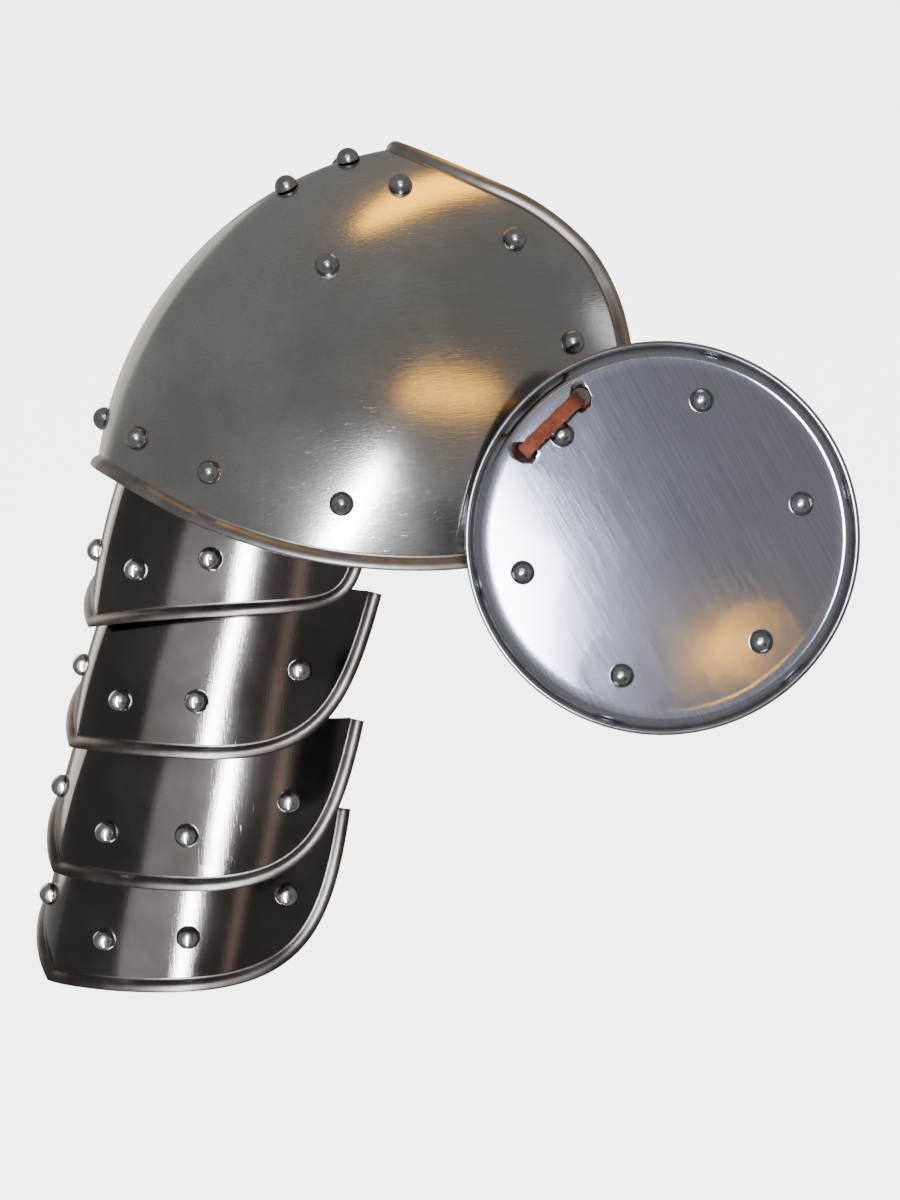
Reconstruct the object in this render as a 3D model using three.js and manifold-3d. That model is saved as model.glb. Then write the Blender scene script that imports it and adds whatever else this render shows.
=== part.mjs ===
// Right pauldron of plate armour, as worn: a keeled main plate, four keeled arm lames below it and a
// round besagew disc hung on a leather lace in front of the armpit.
// The wearer faces -Y, the arm is towards -X and the neck towards +X. The keels lie near the plane y = 0.
// The origin is where the inside of the main plate's keel bears on the top of the shoulder.
import * as THREE from 'three';
import { mergeVertices } from 'three/addons/utils/BufferGeometryUtils.js';
import Module from 'manifold-3d';

const wasm = await Module();
wasm.setup();

// Steel plate and the gaps between pieces, in millimetres
const plateThickness = 1.2;
const nestGap = 0.5;
const seatGap = 0.3;
const holeClearance = 0.25;
const rimWidth = 5;
const rimRise = 2.6;

// Main plate: two lobes of a flattened dome that meet in a keel along a circular arc
const keelRadius = 135;
const keelTopAngle = 6.8;
const keelBottomAngle = 79;
const keelBevel = 6;
const seatAngle = 19.5;

// Arm lames: each is two arcs that meet in a keel, dished a little from top to bottom
const armRadius = 88;
const armTaper = 3.5;
const domeEase = 8;
const keelOffset = 11.5;
const dishRadius = 250;
const dishHeight = 12;
const lameHalfArc = 103.5;
const lamePitch = 47;
const keelDrop = 17;
const edgeSlope = 0.32;

// Facets along each plate: rows and columns of half a plate
const domeRows = 16;
const domeColumns = 9;
const lameRows = 3;
const lameColumns = 12;

// Rivets
const rivetHead = 9;
const rivetHeadHeight = 4.6;
const rivetShank = 4;
const rivetTail = 5.6;
const rivetTailHeight = 1.2;
const rivetSides = 8;
const holeSides = 6;
const tailRelief = 0.4;

// Articulation leathers
const leatherThickness = 1.6;
const leatherRelief = 0.8;
const leatherWidth = 12;
const leatherLap = 3.75;
const leatherEnd = 8;

// Besagew disc and its lace
const discRadius = 71.5;
const discLip = 5.5;
const discLipRise = 3;
const discCrown = 1.5;
const discBead = 1.1;
const discTurn = 29.2;
const discLean = 14.75;
const discBearing = 161.5;
const discRivetCircle = 52;
const discRivetCount = 6;
const discFirstRivet = 135;
const discSides = 36;
const laceWidth = 6.5;
const laceThickness = 1.6;
const laceSpan = 28.2;
const laceSetback = 5.3;
const laceHole = 7.4;

// Outline of the main plate's front half in the keel plane, as shares of the keel radius, measured
// from the centre of the keel's arc: from the neck corner round the front lobe to the arm corner
const domeOutline = [
  { out: -0.118, up: 0.993 },
  { out: 0.040, up: 0.912 },
  { out: 0.163, up: 0.849 },
  { out: 0.256, up: 0.772 },
  { out: 0.316, up: 0.689 },
  { out: 0.349, up: 0.550 },
  { out: 0.335, up: 0.340 },
  { out: 0.260, up: 0.155 },
  { out: 0.112, up: 0.036 },
  { out: -0.110, up: -0.016 },
  { out: -0.358, up: -0.014 },
  { out: -0.608, up: 0.025 },
  { out: -0.829, up: 0.102 },
  { out: -0.982, up: 0.191 },
];
const domeSpanStart = 0.06;
const domeSpanEnd = 0.95;

// Rivets of the main plate: along is the share of the keel from neck to arm, across the share of the
// way from the keel to the front edge. Those off the keel are mirrored at the back.
const domeRivets = [
  { name: 'neck_0', along: 0.096, across: 0 },
  { name: 'neck_1', along: 0.133, across: 0.424 },
  { name: 'neck_2', along: 0.178, across: 0.780 },
  { name: 'neck_3', along: 0.304, across: 0.883 },
  { name: 'crown_0', along: 0.253, across: 0 },
  { name: 'crown_1', along: 0.388, across: 0.356 },
  { name: 'arm_1', along: 0.916, across: 0.303, leather: true },
  { name: 'arm_2', along: 0.874, across: 0.623, leather: true },
  { name: 'arm_3', along: 0.745, across: 0.812, leather: true },
];

// Lames from the shoulder down. Each hangs in the frame of the one above: pitch, forward and top edge
// heights are shares of the lame pitch, tilt, turn and roll are degrees, rivets is how many it has a side.
const lames = [
  { pitch: 1.436, forward: -0.058, tilt: 16.5, turn: 0.5, roll: -3.5, topKeel: 0.96, topEnd: 0.68, rivets: 2 },
  { pitch: 1.032, forward: 0.087, tilt: 0.95, turn: 1.56, roll: 6.5, topKeel: 0.81, topEnd: 1.574, rivets: 3 },
  { pitch: 0.976, forward: 0.082, tilt: -2.6, turn: 6.1, roll: 3.9, topKeel: 0.81, topEnd: 1.574, rivets: 3 },
  { pitch: 0.893, forward: 0.006, tilt: -0.8, turn: 6.1, roll: -1.6, topKeel: 0.81, topEnd: 1.574, rivets: 3 },
];

// Rivet columns of a lame: along is a share of the half arc from the keel, rise a share of the pitch
const lameRivets = [
  { name: '1', along: 0.206, rise: 0.106 },
  { name: '2', along: 0.512, rise: 0.362 },
  { name: '3', along: 0.836, rise: 0.851 },
];

const degrees = THREE.MathUtils.degToRad;
const UP = new THREE.Vector3(0, 1, 0);

const steel = new THREE.MeshStandardMaterial({ color: 0x77726d, roughness: 0.32, metalness: 1 });
const darkSteel = new THREE.MeshStandardMaterial({ color: 0x55565c, roughness: 0.36, metalness: 1 });
const rivetSteel = new THREE.MeshStandardMaterial({ color: 0x6b6b6e, roughness: 0.22, metalness: 1 });
const laceLeather = new THREE.MeshStandardMaterial({ color: 0x9a4527, roughness: 0.85, metalness: 0 });
const strapLeather = new THREE.MeshStandardMaterial({ color: 0x4b2f20, roughness: 0.8, metalness: 0 });

// A sheet is a set of surface points with outward normals and the four-cornered faces between them
function makeSheet() {
  return { points: [], normals: [], faces: [] };
}

function addPoint(sheet, { point, normal }) {
  sheet.points.push(point);
  sheet.normals.push(normal);
  return sheet.points.length - 1;
}

// Flares a rim out from a run of edge points that goes round the sheet anticlockwise seen from outside
function addRim(sheet, run, closed) {
  const count = run.length;
  const step = (index) => (closed ? (index + count) % count : THREE.MathUtils.clamp(index, 0, count - 1));
  const outer = run.map((id, index) => {
    const before = sheet.points[run[step(index - 1)]];
    const after = sheet.points[run[step(index + 1)]];
    const normal = sheet.normals[id];
    const outward = new THREE.Vector3().subVectors(after, before).cross(normal).normalize();
    const point = sheet.points[id].clone().addScaledVector(outward, rimWidth).addScaledVector(normal, rimRise);
    const lean = normal.clone().multiplyScalar(rimWidth).addScaledVector(outward, -rimRise).normalize();
    return { point, normal: lean };
  });
  const ids = outer.map((corner) => addPoint(sheet, corner));
  run.forEach((id, index) => {
    sheet.normals[id] = sheet.normals[id].clone().add(outer[index].normal).normalize();
  });
  const last = closed ? count : count - 1;
  for (let index = 0; index < last; index += 1) {
    const next = step(index + 1);
    sheet.faces.push([run[next], run[index], ids[index], ids[next]]);
  }
}

// Turns a sheet into a closed plate of even thickness
function thicken(sheet, thickness) {
  const count = sheet.points.length;
  const inner = sheet.points.map((point, id) => point.clone().addScaledVector(sheet.normals[id], -thickness));
  const triangles = [];
  sheet.faces.forEach(([a, b, c, d]) => triangles.push([a, b, c], [a, c, d]));
  const edges = new Set();
  triangles.forEach(([a, b, c]) => edges.add(`${a},${b}`).add(`${b},${c}`).add(`${c},${a}`));
  const index = [];
  triangles.forEach(([a, b, c]) => index.push(a, b, c, c + count, b + count, a + count));
  edges.forEach((edge) => {
    const [a, b] = edge.split(',').map(Number);
    if (!edges.has(`${b},${a}`)) {
      index.push(b, a, a + count, b, a + count, b + count);
    }
  });
  const geometry = new THREE.BufferGeometry();
  const corners = [...sheet.points, ...inner].flatMap((point) => point.toArray());
  geometry.setAttribute('position', new THREE.Float32BufferAttribute(corners, 3));
  geometry.setIndex(index);
  return geometry;
}

// Boolean cut of one geometry by others
function toSolid(geometry) {
  const plain = geometry.clone();
  plain.deleteAttribute('normal');
  plain.deleteAttribute('uv');
  const merged = mergeVertices(plain, 1e-5);
  const mesh = new wasm.Mesh({
    numProp: 3,
    vertProperties: new Float32Array(merged.attributes.position.array),
    triVerts: new Uint32Array(merged.index.array),
  });
  return new wasm.Manifold(mesh);
}

function cut(geometry, cutters) {
  let solid = toSolid(geometry);
  cutters.forEach((cutter) => {
    solid = solid.subtract(toSolid(cutter));
  });
  const mesh = solid.getMesh();
  const result = new THREE.BufferGeometry();
  result.setAttribute('position', new THREE.Float32BufferAttribute(mesh.vertProperties, 3));
  result.setIndex([...mesh.triVerts]);
  return result;
}

function holeCutter({ point, normal }, diameter, length) {
  const corner = diameter / 2 / Math.cos(Math.PI / holeSides);
  const cutter = new THREE.CylinderGeometry(corner, corner, length, holeSides);
  cutter.applyQuaternion(new THREE.Quaternion().setFromUnitVectors(UP, normal));
  return cutter.translate(point.x, point.y, point.z);
}

const rivetHole = rivetShank + 2 * holeClearance;
const holeLength = 8;

function punch(geometry, seats) {
  return cut(geometry, seats.map((seat) => holeCutter(seat, rivetHole, holeLength)));
}

function makeMesh(name, geometry, material) {
  const drawn = geometry.index ? geometry.toNonIndexed() : geometry;
  drawn.computeVertexNormals();
  const mesh = new THREE.Mesh(mergeVertices(drawn), material);
  mesh.name = name;
  return mesh;
}

// Domed rivet: head on the plate, shank through its hole, tail spread on what it holds
function rivetGeometry(grip) {
  const head = rivetHead / 2;
  const shank = rivetShank / 2;
  const profile = [
    [0, -grip - rivetTailHeight],
    [rivetTail / 2, -grip],
    [shank, -grip],
    [shank, holeClearance],
    [head, holeClearance],
    [head * 0.76, holeClearance + rivetHeadHeight * 0.7],
    [0, holeClearance + rivetHeadHeight],
  ];
  return new THREE.LatheGeometry(profile.map(([r, y]) => new THREE.Vector2(r, y)), rivetSides);
}

const bareGrip = plateThickness + seatGap + tailRelief;
const keelGrip = bareGrip + (rivetTail / 2) * Math.tan(degrees(keelBevel));
const leatherDepth = plateThickness + seatGap + leatherRelief;
const leatherGrip = leatherDepth + leatherThickness + seatGap;

function makeRivet(name, seat, grip) {
  const rivet = makeMesh(name, rivetGeometry(grip), rivetSteel);
  rivet.position.copy(seat.point);
  rivet.quaternion.setFromUnitVectors(UP, seat.normal);
  return rivet;
}

const pauldron = new THREE.Group();

// Main plate
const domeInner = keelRadius - plateThickness;
const domeCentre = new THREE.Vector3(
  domeInner * Math.sin(degrees(seatAngle)),
  0,
  -domeInner * Math.cos(degrees(seatAngle)),
);
const domeDepth = armRadius + domeEase;
const lobeRatio = (domeDepth * Math.tan(degrees(keelBevel))) / keelRadius;
const lobeRadius = keelRadius / Math.sqrt(1 - lobeRatio ** 2);
const lobeShift = domeDepth * lobeRatio;
const domeCurve = new THREE.SplineCurve(domeOutline.map(({ out, up }) => new THREE.Vector2(out, up)));
domeCurve.arcLengthDivisions = 400;

function domeNormal(offset) {
  const side = offset.y > 0 ? lobeShift : -lobeShift;
  const depth = offset.y === 0 ? 0 : (offset.y + side) / domeDepth ** 2;
  return new THREE.Vector3(offset.x / lobeRadius ** 2, depth, offset.z / lobeRadius ** 2).normalize();
}

// Point of the main plate's outer surface: along from neck to arm, across from keel to front edge
function domeSeat(along, across) {
  const angle = degrees(THREE.MathUtils.lerp(keelTopAngle, keelBottomAngle, along));
  const keel = new THREE.Vector2(-Math.sin(angle), Math.cos(angle));
  const edge = domeCurve.getPointAt(THREE.MathUtils.lerp(domeSpanStart, domeSpanEnd, along));
  const plan = keel.lerp(edge, 1 - Math.cos((Math.abs(across) * Math.PI) / 2)).multiplyScalar(keelRadius);
  const depth = domeDepth * Math.sqrt(1 - plan.lengthSq() / lobeRadius ** 2) - lobeShift;
  const offset = new THREE.Vector3(plan.x, across === 0 ? 0 : -Math.sign(across) * depth, plan.y);
  return { point: offset.clone().add(domeCentre), normal: domeNormal(offset) };
}

function domeSheet(rows, columns) {
  const sheet = makeSheet();
  const ids = [];
  for (let row = 0; row <= rows; row += 1) {
    ids.push([]);
    for (let column = -columns; column <= columns; column += 1) {
      ids[row].push(addPoint(sheet, domeSeat(row / rows, column / columns)));
    }
  }
  const width = 2 * columns;
  for (let row = 0; row < rows; row += 1) {
    for (let column = 0; column < width; column += 1) {
      sheet.faces.push([ids[row][column], ids[row + 1][column], ids[row + 1][column + 1], ids[row][column + 1]]);
    }
  }
  const back = ids.map((line) => line[0]);
  const front = ids.map((line) => line[width]);
  const run = [...back, ...ids[rows].slice(1, width), ...front.reverse(), ...ids[0].slice(1, width).reverse()];
  addRim(sheet, run, true);
  return sheet;
}

const domeSeats = domeRivets.flatMap(({ name, along, across, leather }) => {
  const front = { name: `rivet_${name}`, seat: domeSeat(along, across), leather, along, across };
  if (across === 0) {
    return [front];
  }
  front.name += '_front';
  return [front, { ...front, name: `rivet_${name}_back`, seat: domeSeat(along, -across), across: -across }];
});

// Besagew disc: its frame has x to the right and y up as seen from in front, z towards the viewer
const discBend = discRadius - discLip;
const bearing = domeSeat(0.54, 0.85).point;
const disc = new THREE.Group();
disc.rotation.set(degrees(90 - discLean), 0, degrees(-discTurn), 'ZXY');
const discReach = new THREE.Vector3(
  -discBend * Math.cos(degrees(discBearing)),
  -discBend * Math.sin(degrees(discBearing)),
  plateThickness + seatGap,
);
disc.position.copy(discReach.applyEuler(disc.rotation).add(bearing));
pauldron.add(disc);
disc.updateMatrixWorld(true);

function discFace(radius) {
  return discCrown * (1 - (radius / discBend) ** 2);
}

function discGeometry() {
  const half = discBend / 2;
  const beadRadius = discRadius - discBead;
  const profile = [
    [0, discFace(0) - plateThickness],
    [half, discFace(half) - plateThickness],
    [discBend, -plateThickness],
    [beadRadius + discBead * 0.4, discLipRise - plateThickness],
    [discRadius, discLipRise - plateThickness * 0.2],
    [discRadius - discBead * 0.3, discLipRise + discBead * 0.5],
    [beadRadius - discBead * 0.7, discLipRise + discBead * 0.5],
    [beadRadius - discBead, discLipRise - discBead * 0.3],
    [discBend - plateThickness * 0.3, 0],
    [half, discFace(half)],
    [0, discFace(0)],
  ];
  return new THREE.LatheGeometry(profile.map(([r, y]) => new THREE.Vector2(r, y)), discSides).rotateX(Math.PI / 2);
}

const discSeats = Array.from({ length: discRivetCount }, (_, index) => {
  const angle = degrees(discFirstRivet - (index * 360) / discRivetCount);
  const height = discFace(discRivetCircle);
  const x = discRivetCircle * Math.cos(angle);
  const y = discRivetCircle * Math.sin(angle);
  return { point: new THREE.Vector3(x, y, height), normal: new THREE.Vector3(0, 0, 1) };
});

// The lace crosses just outside the first rivet and goes through the two lace holes
const laceAngle = degrees(discFirstRivet);
const laceLine = discRivetCircle + laceSetback;
const laceRadial = new THREE.Vector3(Math.cos(laceAngle), Math.sin(laceAngle), 0);
const laceAlong = new THREE.Vector3(-Math.sin(laceAngle), Math.cos(laceAngle), 0);
const laceEnds = [-laceSpan / 2, laceSpan / 2].map((shift) => {
  const point = laceRadial.clone().multiplyScalar(laceLine).addScaledVector(laceAlong, shift);
  return { point, normal: new THREE.Vector3(0, 0, 1) };
});
const laceHoleLength = 90;
const discCutters = [
  ...discSeats.map((seat) => holeCutter(seat, rivetHole, holeLength)),
  ...laceEnds.map((seat) => holeCutter(seat, laceHole, holeLength)),
];
disc.add(makeMesh('besagew_disc', cut(discGeometry(), discCutters), darkSteel));
discSeats.forEach((seat, index) => {
  disc.add(makeRivet(`rivet_disc_${index + 1}`, seat, bareGrip));
});

// Height of the main plate's front lobe behind a point of the disc, along the disc's axis
function plateBehind(x, y) {
  const origin = disc.localToWorld(new THREE.Vector3(x, y, 0)).sub(domeCentre);
  origin.y -= lobeShift;
  const axis = new THREE.Vector3(0, 0, 1).transformDirection(disc.matrixWorld);
  const scale = new THREE.Vector3(1 / lobeRadius, 1 / domeDepth, 1 / lobeRadius);
  const from = origin.multiply(scale);
  const way = axis.multiply(scale);
  const a = way.lengthSq();
  const b = from.dot(way);
  return (-b + Math.sqrt(b * b - a * (from.lengthSq() - 1))) / a;
}

// Lowest the main plate reaches behind the lace where one of its legs goes through
function laceFoot(end) {
  const reach = laceWidth / 2;
  const heights = [-reach, reach].flatMap((side) => [-laceThickness, laceThickness].map((shift) => {
    const spot = end.point.clone().addScaledVector(laceRadial, side).addScaledVector(laceAlong, shift);
    return plateBehind(spot.x, spot.y);
  }));
  return Math.min(...heights) - 2 * plateThickness - seatGap - laceThickness;
}

// Moves each corner of a closed line sideways by a distance
function offsetLine(line, distance) {
  const count = line.length;
  return line.map((corner, index) => {
    const before = line[(index + count - 1) % count];
    const after = line[(index + 1) % count];
    const into = corner.clone().sub(before).normalize();
    const away = after.clone().sub(corner).normalize();
    const bisector = new THREE.Vector2(into.y + away.y, -into.x - away.x).normalize();
    const spread = bisector.x * into.y - bisector.y * into.x;
    return corner.clone().addScaledVector(bisector, distance / spread);
  });
}

function laceGeometry() {
  const half = laceSpan / 2;
  const lift = discFace(laceLine) + rivetHeadHeight + laceThickness / 2 + 2 * seatGap;
  const bend = laceThickness * 2;
  const [footLeft, footRight] = laceEnds.map(laceFoot);
  const line = [
    [-half, footLeft],
    [half, footRight],
    [half, laceThickness / 2],
    [half - bend * 0.5, lift * 0.72],
    [half - bend * 1.5, lift],
    [bend * 1.5 - half, lift],
    [bend * 0.5 - half, lift * 0.72],
    [-half, laceThickness / 2],
  ].map(([x, y]) => new THREE.Vector2(x, y));
  const shape = new THREE.Shape(offsetLine(line, laceThickness / 2));
  shape.holes.push(new THREE.Path(offsetLine(line, -laceThickness / 2)));
  const geometry = new THREE.ExtrudeGeometry(shape, { depth: laceWidth, bevelEnabled: false });
  geometry.translate(0, 0, laceLine - laceWidth / 2);
  const basis = new THREE.Matrix4().makeBasis(laceAlong, new THREE.Vector3(0, 0, 1), laceRadial);
  return geometry.applyMatrix4(basis);
}

disc.add(makeMesh('besagew_lace', laceGeometry(), laceLeather));

const plateCutters = domeSeats.map(({ seat }) => holeCutter(seat, rivetHole, holeLength));
laceEnds.forEach(({ point }) => {
  const centre = disc.localToWorld(point.clone().setZ(-laceHoleLength / 2 - plateThickness));
  const normal = new THREE.Vector3(0, 0, 1).transformDirection(disc.matrixWorld);
  plateCutters.push(holeCutter({ point: centre, normal }, laceHole + 2 * holeClearance, laceHoleLength));
});
pauldron.add(makeMesh('main_plate', cut(thicken(domeSheet(domeRows, domeColumns), plateThickness), plateCutters), steel));
domeSeats.forEach(({ name, seat, leather, across }) => {
  const openGrip = across === 0 ? keelGrip : bareGrip;
  pauldron.add(makeRivet(name, seat, leather ? leatherGrip : openGrip));
});

// Point of a lame's outer surface, sunk by a depth: s runs along the arc from the keel, forwards
// positive, and h up the arm from the line of the keel rivets
function lameSeat(radius, s, h, depth = 0) {
  const dished = radius - (h - dishHeight) ** 2 / (2 * dishRadius) - depth;
  const slope = (h - dishHeight) / dishRadius;
  const keelAngle = Math.asin(keelOffset / dished);
  if (s === 0) {
    const point = new THREE.Vector3(-dished * Math.cos(keelAngle), 0, h);
    return { point, normal: new THREE.Vector3(-1, 0, slope).normalize() };
  }
  const angle = keelAngle + Math.abs(s) / radius;
  const side = -Math.sign(s);
  const point = new THREE.Vector3(
    -dished * Math.cos(angle),
    side * (dished * Math.sin(angle) - keelOffset),
    h,
  );
  return { point, normal: new THREE.Vector3(-Math.cos(angle), side * Math.sin(angle), slope).normalize() };
}

// The s and h of a point given in the lame's own frame
function lameSpot(lame, { x, y, z }) {
  const angle = Math.atan2(Math.abs(y) + keelOffset, -x) - Math.asin(keelOffset / lame.radius);
  return { s: -Math.sign(y) * angle * lame.radius, h: z };
}

function lameTop(lame, s) {
  const share = (1 - Math.cos(Math.PI * Math.min(Math.abs(s) / lameHalfArc, 1) ** 1.2)) / 2;
  return lamePitch * THREE.MathUtils.lerp(lame.topKeel, lame.topEnd, share);
}

// Edge of half a lame in s and h: along the bottom, round the corner and up the end
function lameEdge(lame) {
  const edge = new THREE.CurvePath();
  const bottom = (share) => new THREE.Vector2(
    lameHalfArc * share,
    lameHalfArc * share * edgeSlope - keelDrop,
  );
  const top = new THREE.Vector2(lameHalfArc, lamePitch * lame.topEnd);
  const heel = new THREE.Vector2(lameHalfArc * 0.995, top.y * 0.4);
  edge.add(new THREE.LineCurve(bottom(0), bottom(0.58)));
  edge.add(new THREE.CubicBezierCurve(bottom(0.58), bottom(0.957), heel, top));
  return edge;
}

function lameSheet(lame, steps, rows) {
  const sheet = makeSheet();
  const edge = lameEdge(lame);
  const topReach = 0.9 * lameHalfArc;
  const ids = [];
  for (let step = -steps; step <= steps; step += 1) {
    const share = Math.abs(step) / steps;
    const low = edge.getPointAt(share);
    const topS = topReach * share;
    const high = new THREE.Vector2(topS, lameTop(lame, topS));
    ids.push([]);
    for (let row = 0; row <= rows; row += 1) {
      const spot = low.clone().lerp(high, row / rows);
      const seat = lameSeat(lame.radius, step === 0 ? 0 : Math.sign(step) * spot.x, spot.y);
      ids[step + steps].push(addPoint(sheet, seat));
    }
  }
  for (let step = 0; step < 2 * steps; step += 1) {
    for (let row = 0; row < rows; row += 1) {
      sheet.faces.push([ids[step][row], ids[step + 1][row], ids[step + 1][row + 1], ids[step][row + 1]]);
    }
  }
  addRim(sheet, ids.map((line) => line[0]), false);
  return sheet;
}

const keelBottom = domeSeat(1, 0).point;
let above = pauldron;
lames.forEach((lame, index) => {
  lame.radius = armRadius - index * (plateThickness + nestGap + armTaper);
  const group = new THREE.Group();
  group.rotation.set(degrees(lame.roll), degrees(lame.tilt), degrees(lame.turn), 'YXZ');
  group.position.set(0, lame.forward * lamePitch, -lame.pitch * lamePitch);
  if (index === 0) {
    group.position.add(keelBottom).add(new THREE.Vector3(armRadius - domeEase, 0, 0));
  }
  above.add(group);
  above = group;
  lame.group = group;
  lame.seats = lameRivets.slice(0, lame.rivets).flatMap(({ name, along, rise }) => [1, -1].map((side) => {
    const s = side * along * lameHalfArc;
    const h = rise * lamePitch;
    const place = side > 0 ? 'front' : 'back';
    return { name: `rivet_lame_${index + 1}_${name}_${place}`, seat: lameSeat(lame.radius, s, h), s, h };
  }));
  const plate = punch(thicken(lameSheet(lame, lameColumns, lameRows), plateThickness), lame.seats.map(({ seat }) => seat));
  group.add(makeMesh(`lame_${index + 1}`, plate, steel));
  lame.seats.forEach(({ name, seat }) => group.add(makeRivet(name, seat, leatherGrip)));
});
pauldron.updateMatrixWorld(true);

// Articulation leathers: each runs inside from its rivet in the main plate down to the last lame,
// and steps in under the top edge of each lame
function toObject(seat, group) {
  return {
    point: group.localToWorld(seat.point.clone()),
    normal: seat.normal.clone().transformDirection(group.matrixWorld),
  };
}

// Where a leather clears the top edge of a lame on its way down from a point to s and h on the lame
function leatherOverEdge(lame, from, s, h) {
  const clear = (spot) => {
    const sides = [-0.5, 0.5].map((share) => lameTop(lame, spot + share * leatherWidth));
    return Math.max(...sides) + leatherThickness + seatGap;
  };
  const start = lameSpot(lame, lame.group.worldToLocal(from.clone()));
  const share = (clear(s) - h) / (start.h - h);
  const crossing = THREE.MathUtils.lerp(s, start.s, share);
  const depth = plateThickness + 4 * seatGap;
  return toObject(lameSeat(lame.radius, crossing, clear(crossing), depth), lame.group);
}

// Stations down one row of rivets, front side 1 or back side -1: flat behind each rivet
function leatherRun(column, side) {
  const { name, along, rise } = lameRivets[column];
  const place = side > 0 ? 'front' : 'back';
  const rivets = [domeSeats.find((entry) => entry.name === `rivet_arm_${name}_${place}`).seat];
  lames.filter((lame) => column < lame.rivets).forEach((lame) => {
    const seat = lameSeat(lame.radius, side * along * lameHalfArc, rise * lamePitch);
    rivets.push(toObject(seat, lame.group));
  });
  const flats = rivets.map((rivet, index) => {
    const before = rivets[Math.max(index - 1, 0)].point;
    const after = rivets[Math.min(index + 1, rivets.length - 1)].point;
    const down = new THREE.Vector3().subVectors(after, before).projectOnPlane(rivet.normal).normalize();
    const up = index === 0 ? leatherEnd : leatherLap;
    const low = index === rivets.length - 1 ? leatherEnd : leatherLap + leatherThickness;
    return [-up, low].map((reach) => ({
      point: rivet.point.clone().addScaledVector(rivet.normal, -leatherDepth).addScaledVector(down, reach),
      normal: rivet.normal,
    }));
  });
  const run = [...flats.shift()];
  lames.forEach((lame) => {
    const from = run[run.length - 1].point;
    run.push(leatherOverEdge(lame, from, side * along * lameHalfArc, rise * lamePitch));
    if (column < lame.rivets) {
      run.push(...flats.shift());
    }
  });
  return { run, rivets };
}

// A strip along the stations. At each bend its normal halves the bend and is drawn out to keep the thickness.
function leatherSheet(run) {
  const sheet = makeSheet();
  const ways = run.slice(1).map(({ point }, index) => point.clone().sub(run[index].point).normalize());
  const ids = run.map(({ point, normal }, index) => {
    const before = ways[Math.max(index - 1, 0)];
    const after = ways[Math.min(index, ways.length - 1)];
    const across = new THREE.Vector3().addVectors(before, after).cross(normal).normalize();
    const out = new THREE.Vector3().crossVectors(across, before).normalize();
    const bend = out.clone().add(new THREE.Vector3().crossVectors(across, after).normalize()).normalize();
    bend.divideScalar(bend.dot(out));
    return [-0.5, 0.5].map((share) => addPoint(sheet, {
      point: point.clone().addScaledVector(across, share * leatherWidth),
      normal: bend,
    }));
  });
  for (let index = 0; index < run.length - 1; index += 1) {
    sheet.faces.push([ids[index][1], ids[index + 1][1], ids[index + 1][0], ids[index][0]]);
  }
  return sheet;
}

lameRivets.forEach(({ name }, column) => {
  [1, -1].forEach((side) => {
    const { run, rivets } = leatherRun(column, side);
    const cutters = rivets.map((seat) => holeCutter(seat, rivetHole, 3 * holeLength));
    const strap = cut(thicken(leatherSheet(run), leatherThickness), cutters);
    const place = side > 0 ? 'front' : 'back';
    pauldron.add(makeMesh(`leather_${name}_${place}`, strap, strapLeather));
  });
});

export default pauldron;
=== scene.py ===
# Pauldron of plate armour for the right shoulder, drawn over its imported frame. The pieces' sizes are in
# millimetres, the camera and the lights in metres. X runs from the arm (-) to the neck (+), -Y is the
# wearer's front and Z is up.
import math

import bpy
import numpy as np
from mathutils import Matrix, Vector


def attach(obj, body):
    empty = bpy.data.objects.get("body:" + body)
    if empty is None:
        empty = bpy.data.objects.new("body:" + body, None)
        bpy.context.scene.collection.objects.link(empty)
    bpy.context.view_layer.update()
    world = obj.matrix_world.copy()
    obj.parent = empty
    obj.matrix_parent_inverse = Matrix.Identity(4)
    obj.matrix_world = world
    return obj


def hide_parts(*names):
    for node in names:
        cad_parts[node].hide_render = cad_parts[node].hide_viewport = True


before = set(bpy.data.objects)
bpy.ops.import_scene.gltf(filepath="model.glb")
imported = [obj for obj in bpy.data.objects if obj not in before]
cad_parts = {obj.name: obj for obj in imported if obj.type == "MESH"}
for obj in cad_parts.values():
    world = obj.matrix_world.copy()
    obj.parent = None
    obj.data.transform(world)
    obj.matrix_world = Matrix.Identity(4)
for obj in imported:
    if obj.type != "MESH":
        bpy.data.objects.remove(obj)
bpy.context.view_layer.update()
scene = bpy.context.scene

# Camera at the photograph's viewing angle
camera = bpy.data.objects.new("camera", bpy.data.cameras.new("camera"))
scene.collection.objects.link(camera)
camera.data.sensor_fit = "VERTICAL"
camera.data.sensor_height = 24
camera.data.lens = 57.94
camera.data.clip_end = 20
camera.location = (-0.41740, -1.01341, 0.14727)
aim = Vector((0.02948, -0.05509, -0.15593)) - camera.location
camera.rotation_euler = aim.to_track_quat("-Z", "Y").to_euler()
scene.camera = camera

# Main plate: hammered from one sheet into two lobes that meet in a keel, with a flared rim all round.
# Plain on the inside and riveted to the six leathers. The two holes for the disc's lace aren't cut here: the
# disc hides them, and they are in the solids.
plate = 1.2  # thickness of the steel
gap = 0.3  # between neighbouring pieces
edge_round = 0.35
keel_radius, top_angle, bottom_angle = 135.0, 6.8, 79.0
dome_depth = 96.0
lobe_lean = math.radians(6.0)
seat_angle = math.radians(19.5)
centre = np.array([
    (keel_radius - plate) * math.sin(seat_angle), 0.0, -(keel_radius - plate) * math.cos(seat_angle),
])
lobe_ratio = dome_depth * math.tan(lobe_lean) / keel_radius
lobe_radius = keel_radius / math.sqrt(1 - lobe_ratio ** 2)
lobe_shift = dome_depth * lobe_ratio
edge_start, edge_end = 0.06, 0.95
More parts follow.
